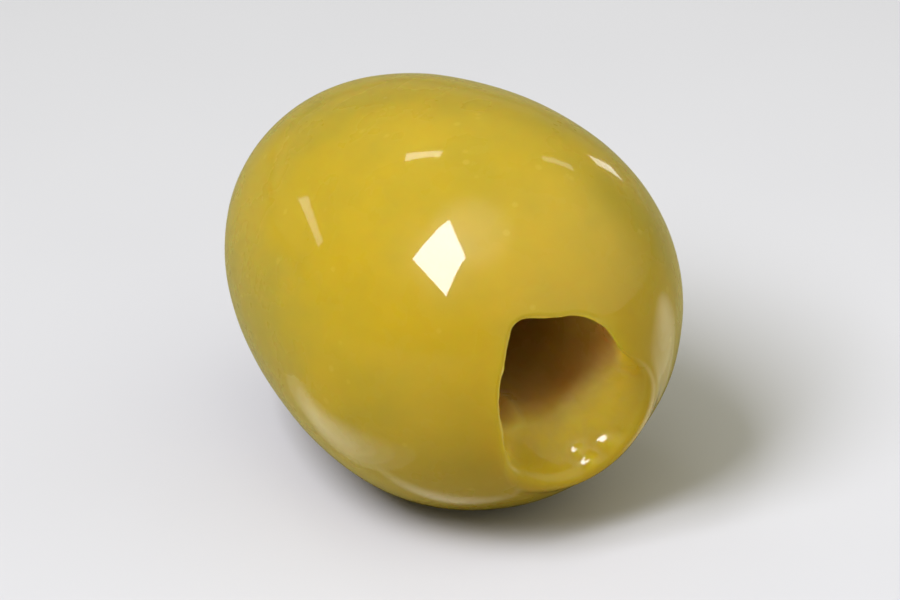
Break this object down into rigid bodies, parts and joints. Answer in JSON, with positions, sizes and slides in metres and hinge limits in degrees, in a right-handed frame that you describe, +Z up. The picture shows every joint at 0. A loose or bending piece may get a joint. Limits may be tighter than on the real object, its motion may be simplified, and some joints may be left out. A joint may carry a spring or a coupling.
{
  "type": "green olive",
  "caption": "Pitted green olive lying on its side, with a round pitting hole at one end and a cross-shaped cut in the nipple at the other.",
  "frame": {"origin": "middle of the small flat spot on the belly that the olive rests on", "axes": "+Z up, and the olive's length and its passage along Y, with the round hole facing -Y and the cross cut facing +Y"},
  "size_m": [0.0207, 0.0286, 0.0203],
  "materials": {
    "olive_skin": "gloss"
  },
  "bodies": {
    "root": {"olive": "olive_skin"}
  },
  "joints": []
}
